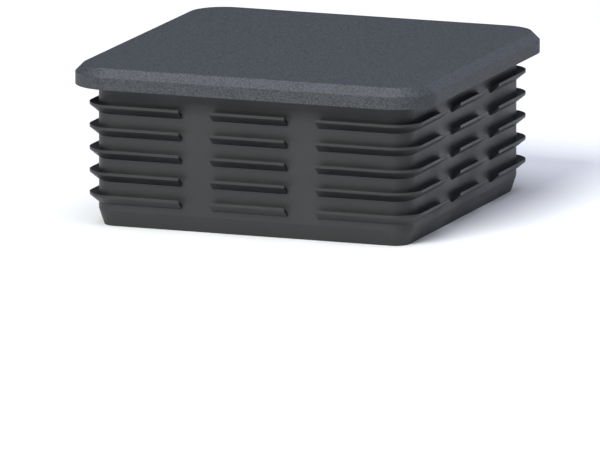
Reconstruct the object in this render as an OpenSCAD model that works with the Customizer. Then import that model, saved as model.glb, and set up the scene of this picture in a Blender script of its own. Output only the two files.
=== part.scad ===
// Cap for a square fence post: a powder-coated metal cover on a finned plastic insert.
// z = 0 is the plane where the cap rests on the post's end, and the z axis is the post's centre line.

/* [Post that the cap fits] */
// Outside width of the post, and of the cover above it
post_w = 70; // [60:1:100]
// Outside corner radius of the post, and of the cover
corner_r = 8; // [6.5:0.5:12]
// Wall thickness of the post
post_wall = 2.5; // [2:0.1:3.5]
// Distance between the two grooves of one face of the post
groove_pitch = 20.6; // [16:0.2:26]
// Width of the bulge that each groove makes inside the post
bulge_w = 5; // [4:0.5:7]
// Height of that bulge
bulge_h = 1; // [0.7:0.1:1.5]

/* [Cover] */
// Height of the upright rim
rim_h = 2.3; // [1.9:0.1:4]
// Size of the 45 degree chamfer round the top
chamfer = 1.5; // [0.5:0.1:2]
// Thickness of the top plate
plate_t = 2; // [1.6:0.1:2.5]
// Thickness of the skirt outside the gasket
skirt_t = 1.2; // [0.9:0.1:1.8]
// Diameter of the four bosses
boss_d = 8; // [6.5:0.1:10]
// Metal left above the screw holes
hole_skin = 2.7; // [1.5:0.1:3.5]

/* [Gasket] */
// Height of the gasket
gasket_h = 1; // [0.8:0.1:1.4]
// How far the gasket stands below the cover's rim
gasket_proud = 0.2; // [0.1:0.05:0.4]

/* [Insert] */
// Depth of the insert below the seat plane
insert_depth = 26; // [20:1:40]
// Thickness of the insert's side walls
insert_wall = 2; // [1.6:0.1:2.6]
// Thickness of the insert's top plate
insert_plate_t = 2; // [1.6:0.1:2.6]
// Thickness of the stiffening ribs
rib_t = 1.5; // [1.2:0.1:2]
// Depth of the ribs under the top plate
rib_h = 3.5; // [2:0.5:5]
// Depth of the upright ribs on the inside of the walls
wall_rib_d = 1.6; // [1:0.1:2.5]
// Wall thickness of the towers that hold the cover's bosses
tower_wall = 1.8; // [1.4:0.1:2.4]
// Thickness of the towers' floors, which the screws clamp
tower_floor = 2.5; // [2:0.1:3.5]
// Height of the taper at the lower edge
lead_h = 3; // [2:0.5:4]
// How far that taper goes in
lead_in = 1; // [0.5:0.1:1.4]

/* [Fins] */
// Distance between two rows of fins
fin_pitch = 4.2; // [3:0.1:8]
// Depth of the first row below the seat plane
fin_start = 4; // [3.5:0.5:6]
// Thickness of a fin at its root
fin_root_t = 1; // [0.8:0.1:1.4]
// Thickness of a fin at its tip
fin_tip_t = 0.5; // [0.4:0.1:0.8]
// How much higher the tip is than the root
fin_rise = 0.9; // [0.3:0.1:1.2]

/* [Screws and washers] */
// Thread diameter of the screws
screw_d = 4; // [3:0.5:5]
// Length of the screws under the head
screw_l = 10; // [8:1:14]
// Pitch of the thread
thread_pitch = 0.7; // [0.5:0.05:1]
// Depth of the thread
thread_depth = 0.4; // [0.2:0.05:0.5]
// Distance from the cover's sides to each screw
screw_inset = 15; // [12.5:0.5:20]
// Diameter of the screw heads
head_d = 8; // [6.5:0.5:9.5]
// Height of the screw heads
head_h = 3; // [2.4:0.1:3.6]
// Radius of the heads' rounded top
head_dome_r = 6.5; // [5.5:0.5:10]
// Width over the lobes of the driver socket
socket_w = 3.9; // [3.3:0.1:4.6]
// Depth of the driver socket
socket_depth = 1.5; // [1:0.1:2]
// Outside diameter of the washers
washer_d = 9; // [8:0.5:11]
// Thickness of the washers
washer_t = 0.8; // [0.5:0.1:1.2]

/* [Clearances] */
// Between the insert's walls and the post's inside faces
insert_gap = 1.8; // [1.2:0.1:2.2]
// Between the fin tips, bent as they sit in the post, and the post's inside faces
fin_gap = 0.1; // [0.05:0.05:0.3]
// Round the bulges inside the post
bulge_gap = 0.5; // [0.3:0.1:0.8]
// Between the insert's neck and the cover's pocket
pocket_gap = 0.2; // [0.1:0.05:0.4]
// Between the insert's top and the cover's plate
top_gap = 0.1; // [0.05:0.05:0.3]
// Between the gasket and the skirt
gasket_gap = 0.1; // [0.05:0.05:0.3]
// Round each boss in its tower
boss_gap = 0.2; // [0.1:0.05:0.4]
// Round each screw in the insert and in its washer
screw_gap = 0.2; // [0.1:0.05:0.4]
// Round the thread in the cover
thread_gap = 0.05; // [0.02:0.01:0.1]
// Between the screw tips and the ends of their holes
tip_gap = 0.6; // [0.3:0.1:1]

/* [Hidden] */
$fn = 64;
cut = 1; // how far a cut runs past the face it opens
lobes = 6;

// The corner arcs of every piece share four centres, this far from the z axis along x and y.
middle = post_w / 2 - corner_r;
// Radii of those arcs inside the post, on the insert's walls and on the gasket
inside_r = corner_r - post_wall;
neck_r = inside_r - insert_gap;
gasket_r = corner_r - skirt_t - gasket_gap;

cover_h = gasket_proud + rim_h + chamfer;
roof_z = cover_h - plate_t;
insert_top = roof_z - top_gap;
plate_z = insert_top - insert_plate_t;

// The screws set how far the bosses and towers reach down.
screw_at = post_w / 2 - screw_inset;
hole_end = cover_h - hole_skin;
head_z = hole_end - tip_gap - screw_l;
tower_z = head_z + washer_t;
boss_z = tower_z + tower_floor;
tower_r = boss_d / 2 + boss_gap + tower_wall;

fin_rows = 1 + floor((insert_depth - lead_h - fin_start - fin_root_t) / fin_pitch);

// Sweeps a profile once round the cap. The profile's x = 0 is the centre of the corner arcs.
module around() {
    for (turn = [0:90:270]) rotate(turn) {
        translate([middle, middle, 0]) rotate_extrude(angle = 90) children();
        translate([middle, 0, 0]) rotate([90, 0, 0]) linear_extrude(2 * middle, center = true) children();
    }
}

// Fills the square between the centres of the corner arcs
module core(low, high) {
    translate([-middle, -middle, low]) cube([2 * middle, 2 * middle, high - low]);
}

// Places its children at one of the four screws, counted round the z axis
module at_screw(i) {
    rotate(90 * (i - 1)) translate([screw_at, screw_at, 0]) children();
}

module at_each_screw() {
    for (i = [1:4]) at_screw(i) children();
}

module cap_cover() color([0.32, 0.33, 0.36]) difference() {
    union() {
        around() polygon([
            [0, roof_z], [neck_r + pocket_gap, roof_z], [neck_r + pocket_gap, gasket_h],
            [corner_r - skirt_t, gasket_h], [corner_r - skirt_t, gasket_proud], [corner_r, gasket_proud],
            [corner_r, gasket_proud + rim_h], [corner_r - chamfer, cover_h], [0, cover_h]
        ]);
        core(roof_z, cover_h);
        at_each_screw() translate([0, 0, boss_z]) cylinder(d = boss_d, h = cover_h - plate_t / 2 - boss_z);
    }
    at_each_screw() translate([0, 0, boss_z - cut])
        cylinder(d = screw_d + 2 * thread_gap, h = hole_end - boss_z + cut);
}

module gasket() color([0.1, 0.1, 0.11]) around()
    translate([neck_r, 0]) square([gasket_r - neck_r, gasket_h]);

module insert_walls() around() polygon([
    [neck_r - insert_wall, -insert_depth], [neck_r - lead_in, -insert_depth],
    [neck_r, lead_h - insert_depth], [neck_r, insert_top], [neck_r - insert_wall, insert_top]
]);

module insert_plate() {
    around() translate([0, plate_z]) square([neck_r, insert_plate_t]);
    core(plate_z, insert_top);
}

// One row of fins at a depth below the seat plane, rooted in the middle of the wall
module fin_row(depth) {
    root_x = neck_r - insert_wall / 2;
    tip_x = inside_r - fin_gap;
    tip_z = fin_rise - depth;
    around() polygon([
        [root_x, -depth - fin_root_t], [neck_r, -depth - fin_root_t], [tip_x, tip_z - fin_tip_t],
        [tip_x, tip_z], [neck_r, -depth], [root_x, -depth]
    ]);
}

// Ribs on the centre lines and on the lines through the towers, under the plate and down the walls
module insert_ribs() {
    inner = middle + neck_r - insert_wall;
    root = insert_wall / 2;
    for (turn = [0:90:270], y = [-screw_at, 0, screw_at]) rotate(turn) translate([0, y - rib_t / 2, 0]) {
        translate([0, 0, plate_z - rib_h]) cube([inner + root, rib_t, rib_h + insert_plate_t / 2]);
        translate([inner - wall_rib_d, 0, lead_h - insert_depth])
            cube([wall_rib_d + root, rib_t, plate_z - lead_h + insert_depth]);
    }
}

// Opens the fins, and the walls if need be, for the bulges that the post's grooves make inside it
module bulge_reliefs() {
    width = bulge_w + 2 * bulge_gap;
    floor_x = middle + min(neck_r, inside_r - bulge_h - bulge_gap);
    for (turn = [0:90:270], side = [-1, 1]) rotate(turn)
        translate([floor_x, (side * groove_pitch - width) / 2, -insert_depth - cut])
            cube([post_w, width, insert_depth + cut]);
}

module post_insert() color([0.07, 0.07, 0.08]) difference() {
    union() {
        insert_walls();
        insert_plate();
        insert_ribs();
        for (row = [1:fin_rows]) fin_row(fin_start + (row - 1) * fin_pitch);
        at_each_screw() translate([0, 0, tower_z])
            cylinder(r = tower_r, h = plate_z + insert_plate_t / 2 - tower_z);
    }
    bulge_reliefs();
    at_each_screw() translate([0, 0, boss_z])
        cylinder(d = boss_d + 2 * boss_gap, h = insert_top + cut - boss_z);
    at_each_screw() translate([0, 0, tower_z - cut])
        cylinder(d = screw_d + 2 * screw_gap, h = tower_floor + 2 * cut);
}

// The head hangs below z = 0, with its driver socket underneath
module screw_head() mirror([0, 0, 1]) difference() {
    rotate_extrude() intersection() {
        square([head_d / 2, head_h]);
        translate([0, head_h - head_dome_r]) circle(r = head_dome_r);
    }
    translate([0, 0, head_h - socket_depth]) linear_extrude(socket_depth + cut) {
        lobe_r = socket_w / 8;
        circle(r = socket_w / 2 - lobe_r);
        for (i = [1:lobes])
            rotate(i * 360 / lobes) translate([socket_w / 2 - lobe_r, 0]) circle(r = lobe_r);
    }
}

// The shank stands above z = 0, with its thread drawn as a stack of rings
module screw_shank() {
    crest_r = screw_d / 2;
    root_r = crest_r - thread_depth;
    rings = floor((screw_l - 2 * thread_pitch) / thread_pitch);
    tip_z = screw_l - thread_pitch;
    rotate_extrude() polygon(concat(
        [[0, -head_h / 4], [root_r, -head_h / 4], [root_r, tip_z - rings * thread_pitch]],
        [for (i = [rings:-1:1], part = [[crest_r, 0.5], [root_r, 1]])
            [part[0], tip_z - (i - part[1]) * thread_pitch]],
        [[root_r - thread_pitch / 2, screw_l], [0, screw_l]]
    ));
}

module screw() color([0.75, 0.76, 0.77]) {
    screw_head();
    screw_shank();
}

module washer() color([0.68, 0.69, 0.7]) difference() {
    cylinder(d = washer_d, h = washer_t);
    translate([0, 0, -cut]) cylinder(d = screw_d + 2 * screw_gap, h = washer_t + 2 * cut);
}

cap_cover();
gasket();
post_insert();
for (i = [1:4]) {
    at_screw(i) translate([0, 0, head_z]) screw();
    at_screw(i) translate([0, 0, head_z]) washer();
}
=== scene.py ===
"""Looks for the square fence post cap: camera, materials, rounded edges and studio around its CAD frame."""

import math

import bpy
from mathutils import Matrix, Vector


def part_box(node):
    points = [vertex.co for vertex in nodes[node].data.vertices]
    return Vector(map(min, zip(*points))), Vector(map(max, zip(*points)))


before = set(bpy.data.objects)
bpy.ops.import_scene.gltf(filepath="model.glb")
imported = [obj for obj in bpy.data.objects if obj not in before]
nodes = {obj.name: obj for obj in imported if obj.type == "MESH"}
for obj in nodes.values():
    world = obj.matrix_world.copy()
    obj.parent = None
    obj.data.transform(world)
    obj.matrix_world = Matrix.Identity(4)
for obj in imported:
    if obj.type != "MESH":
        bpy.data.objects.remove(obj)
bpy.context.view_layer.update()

MM = 0.001
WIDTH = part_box("cap_cover")[1].x * 2  # of the cap, square in plan
FLOOR_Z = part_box("post_insert")[0].z

# ---------------------------------------------------------------- camera

VIEW_AZIMUTH = math.radians(20.5)  # of the camera from the seat plane's centre, to the right of the front
VIEW_ELEVATION = math.radians(10.5)
FRAME_ACROSS = 1.577  # cap widths that the frame shows from side to side
AIM_RIGHT = -0.0229  # the frame's centre from the seat plane's centre, in cap widths
AIM_UP = -0.4123
LENS = 1000.0  # long, because the view has almost no perspective
SENSOR = 36.0


def make_camera():
    sin_a, cos_a = math.sin(VIEW_AZIMUTH), math.cos(VIEW_AZIMUTH)
    sin_e, cos_e = math.sin(VIEW_ELEVATION), math.cos(VIEW_ELEVATION)
    right = Vector((cos_a, sin_a, 0))
    up = Vector((-sin_a * sin_e, cos_a * sin_e, cos_e))
    back = Vector((sin_a * cos_e, -cos_a * cos_e, sin_e))
    distance = WIDTH * FRAME_ACROSS * LENS / SENSOR
    place = back * distance
    aim = (right * AIM_RIGHT + up * AIM_UP) * WIDTH
    data = bpy.data.cameras.new("camera")
    data.lens = LENS
    data.sensor_width = SENSOR
    data.clip_start = distance * 0.5
    data.clip_end = distance * 4
    camera = bpy.data.objects.new("camera", data)
    camera.location = place
    camera.rotation_mode = "QUATERNION"
    camera.rotation_quaternion = (aim - place).to_track_quat("-Z", "Y")
    bpy.context.collection.objects.link(camera)
    bpy.context.scene.camera = camera


# ---------------------------------------------------------------- node helpers


class Graph:
    """A new material with a Principled shader, and short calls that add nodes to it."""

    def __init__(self, name):
        self.material = bpy.data.materials.new(name)
        self.material.use_nodes = True
        self.tree = self.material.node_tree
        self.shader = self.tree.nodes["Principled BSDF"]
        self.coordinates = self.tree.nodes.new("ShaderNodeTexCoord")

    def node(self, kind, **inputs):
        made = self.tree.nodes.new(kind)
        for socket, value in inputs.items():
            self.feed(made, socket.replace("_", " "), value)
        return made

    def feed(self, node, socket, value):
        target = node.inputs[socket]
        if isinstance(value, bpy.types.NodeSocket):
            self.tree.links.new(value, target)
        else:
            target.default_value = value

    def noise(self, size, detail=2.0, roughness=0.5):
        """Noise whose features are about size metres across"""
        made = self.node("ShaderNodeTexNoise", Scale=1 / size, Detail=detail, Roughness=roughness)
        self.feed(made, "Vector", self.coordinates.outputs["Object"])
        return made.outputs["Fac"]

    def cells(self, size):
        """Rounded cells about size metres apart: the value is lowest at their centres"""
        made = self.tree.nodes.new("ShaderNodeTexVoronoi")
        made.feature = "SMOOTH_F1"
        self.feed(made, "Vector", self.coordinates.outputs["Object"])
        self.feed(made, "Scale", 1 / size)
        self.feed(made, "Smoothness", 0.6)
        return made.outputs["Distance"]

    def own_radius(self):
        """The distance from the middle of the piece's own box in plan, where the box is 1 wide"""
        corner = self.coordinates.outputs["Generated"]
        middle = self.vector_math("SUBTRACT", corner, (0.5, 0.5, 0.0))
        flat = self.vector_math("MULTIPLY", middle.outputs["Vector"], (1.0, 1.0, 0.0))
        return self.vector_math("LENGTH", flat.outputs["Vector"]).outputs["Value"]

    def vector_math(self, operation, a, b=(0.0, 0.0, 0.0)):
        made = self.tree.nodes.new("ShaderNodeVectorMath")
        made.operation = operation
        for i, value in enumerate((a, b)):
            self.feed(made, i, value)
        return made

    def math(self, operation, a, b=0.0):
        made = self.tree.nodes.new("ShaderNodeMath")
        made.operation = operation
        for i, value in enumerate((a, b)):
            self.feed(made, i, value)
        return made.outputs[0]

    def remap(self, value, low, high, to_low, to_high):
        """Takes low to to_low and high to to_high, in a straight line between and level outside"""
        made = self.node("ShaderNodeMapRange", Value=value, From_Min=low, From_Max=high)
        self.feed(made, "To Min", to_low)
        self.feed(made, "To Max", to_high)
        return made.outputs["Result"]

    def blend(self, factor, dark, light):
        """The colour from dark to light as factor goes from 0 to 1"""
        made = self.tree.nodes.new("ShaderNodeMix")
        made.data_type = "RGBA"
        factor_in, dark_in, light_in = 0, 6, 7  # the sockets that this node has for colours
        self.feed(made, factor_in, factor)
        self.feed(made, dark_in, (*dark, 1))
        self.feed(made, light_in, (*light, 1))
        return made.outputs[2]

    def bump(self, height, depth, below=None):
        """Relief of about depth metres, on top of an earlier bump if one is given"""
        made = self.node("ShaderNodeBump", Height=height, Distance=depth)
        if below is not None:
            self.feed(made, "Normal", below)
        return made.outputs["Normal"]

    def finish(self, **sockets):
        """Sets the shader's own sockets and gives the material back"""
        for socket, value in sockets.items():
            self.feed(self.shader, socket.replace("_", " "), value)
        return self.material


# ---------------------------------------------------------------- materials


def powder_coat():
    """Fine-textured anthracite powder coat: a pebbled skin, with painted light on its crowns and painted
    shade in its pits
    """
    g = Graph("powder_coat")
    grain = g.noise(0.32 * MM, roughness=0.6)
    pebbles = g.cells(0.36 * MM)
    flow = g.noise(3.5 * MM, detail=1.0)
    skin = g.math("SUBTRACT", g.math("MULTIPLY", grain, 0.6), g.math("MULTIPLY", pebbles, 0.7))
    # The colour follows the relief's height: painted shade in the pits and painted light on the crowns
    crown_light_pit_shade = g.remap(skin, -0.25, 0.15, 0.0, 1.0)
    return g.finish(
        Base_Color=g.blend(crown_light_pit_shade, (0.0134, 0.0146, 0.0170), (0.0346, 0.0383, 0.0447)),
        Roughness=g.remap(flow, 0.3, 0.7, 0.57, 0.60),
        Specular_IOR_Level=0.45,
        Normal=g.bump(skin, 0.09 * MM, below=g.bump(flow, 0.02 * MM)),
    )


def moulded_nylon():
    """Black nylon from a spark-eroded mould, with faint flow marks"""
    g = Graph("moulded_nylon")
    texture = g.noise(0.16 * MM, detail=3.0, roughness=0.6)
    flow = g.noise(9 * MM)
    return g.finish(
        Base_Color=g.blend(flow, (0.009, 0.0093, 0.0098), (0.016, 0.0163, 0.017)),
        Roughness=g.remap(flow, 0.3, 0.7, 0.42, 0.56),
        Normal=g.bump(texture, 0.025 * MM, below=g.bump(flow, 0.05 * MM)),
    )


def gasket_rubber():
    """Matt black rubber with a trace of pale dust"""
    g = Graph("gasket_rubber")
    dust = g.remap(g.noise(0.5 * MM, detail=4.0, roughness=0.7), 0.55, 0.75, 0.0, 1.0)
    texture = g.noise(0.12 * MM)
    return g.finish(
        Base_Color=g.blend(dust, (0.012, 0.012, 0.013), (0.045, 0.045, 0.044)),
        Roughness=g.remap(dust, 0.0, 1.0, 0.72, 0.9),
        Normal=g.bump(texture, 0.015 * MM),
    )


def turned_steel(name, rings, shade):
    """Stainless steel with turning rings round each piece's own axis: rings is how many cross its width"""
    g = Graph(name)
    wobble = g.noise(1.5 * MM)
    turns = g.math("ADD", g.math("MULTIPLY", g.own_radius(), rings), wobble)
    ridge = g.math("SINE", g.math("MULTIPLY", turns, 2 * math.pi))
    scuffs = g.noise(0.25 * MM, detail=4.0, roughness=0.7)
    return g.finish(
        Base_Color=g.blend(scuffs, tuple(0.82 * c for c in shade), shade),
        Metallic=1.0,
        Roughness=g.remap(scuffs, 0.3, 0.7, 0.24, 0.40),
        Normal=g.bump(ridge, 0.0015 * MM, below=g.bump(scuffs, 0.012 * MM)),
    )


# ---------------------------------------------------------------- edges

SAME_POINT = 0.002 * MM  # points nearer than this are one point
SHARP = math.radians(28)  # edges that turn more than this are rounded


def round_edges(piece, radius):
    """Rounds every sharp edge a little, as coating, moulding or tumbling leaves it"""
    weld = piece.modifiers.new("weld", "WELD")
    weld.merge_threshold = SAME_POINT
    bevel = piece.modifiers.new("edges", "BEVEL")
    bevel.width = radius
    bevel.segments = 2
    bevel.limit_method = "ANGLE"
    bevel.angle_limit = SHARP
    bevel.use_clamp_overlap = True
    # The faces between the edges decide the shading at their own borders, so they look as flat as they are.
    bevel.face_strength_mode = "FSTR_AFFECTED"
    shading = piece.modifiers.new("shading", "WEIGHTED_NORMAL")
    shading.mode = "CORNER_ANGLE"
    shading.use_face_influence = True
    shading.keep_sharp = True


def dress(name, material, edge):
    piece = nodes[name]
    piece.data.materials.clear()
    piece.data.materials.append(material)
    round_edges(piece, edge)


# ---------------------------------------------------------------- studio

FLOOR_WIDTH = 6.0  # metres


def area_light(name, place, size, power, colour):
    """A square soft light, size metres wide and power watts strong, that faces the origin"""
    data = bpy.data.lights.new(name, "AREA")
    data.shape = "SQUARE"
    data.size = size
    data.energy = power
    data.color = colour
    light = bpy.data.objects.new(name, data)
    light.location = place
    light.rotation_mode = "QUATERNION"
    light.rotation_quaternion = (-Vector(place)).to_track_quat("-Z", "Y")
    bpy.context.collection.objects.link(light)


def floor_paper():
    """Matt pale paper with hardly any variation"""
    g = Graph("floor")
    return g.finish(
        Base_Color=g.blend(g.noise(40 * MM), (0.69, 0.69, 0.69), (0.71, 0.71, 0.71)),
        Roughness=0.9,
    )


def make_floor():
    half = FLOOR_WIDTH / 2
    mesh = bpy.data.meshes.new("floor")
    corners = [(x * half, y * half, FLOOR_Z) for x, y in ((-1, -1), (1, -1), (1, 1), (-1, 1))]
    mesh.from_pydata(corners, [], [(0, 1, 2, 3)])
    mesh.materials.append(floor_paper())
    floor = bpy.data.objects.new("floor", mesh)
    bpy.context.collection.objects.link(floor)


def make_studio():
    make_floor()
    world = bpy.data.worlds.new("world")
    world.use_nodes = True
    background = world.node_tree.nodes["Background"]
    background.inputs["Color"].default_value = (0.80, 0.84, 1.0, 1)
    background.inputs["Strength"].default_value = 0.22
    bpy.context.scene.world = world
    bpy.context.scene.view_settings.view_transform = "Standard"
    area_light("key", (-0.25, -1.2, 0.95), size=0.7, power=34.0, colour=(0.98, 1.0, 0.94))
    area_light("overhead", (0.0, -0.25, 1.5), size=1.2, power=20.0, colour=(0.81, 0.84, 1.0))
    area_light("side", (1.2, -0.3, 0.95), size=0.7, power=5.0, colour=(0.92, 0.95, 1.0))
    area_light("back", (0.35, 1.3, 0.6), size=0.9, power=3.4, colour=(0.78, 0.82, 1.0))


make_camera()
make_studio()

dress("cap_cover", powder_coat(), edge=0.18 * MM)
dress("gasket", gasket_rubber(), edge=0.08 * MM)
dress("post_insert", moulded_nylon(), edge=0.1 * MM)
screw_steel = turned_steel("screw_steel", rings=44, shade=(0.62, 0.62, 0.61))
washer_steel = turned_steel("washer_steel", rings=40, shade=(0.55, 0.55, 0.54))
for name in nodes:
    if name.startswith("screw_"):
        dress(name, screw_steel, edge=0.06 * MM)
    elif name.startswith("washer_"):
        dress(name, washer_steel, edge=0.08 * MM)
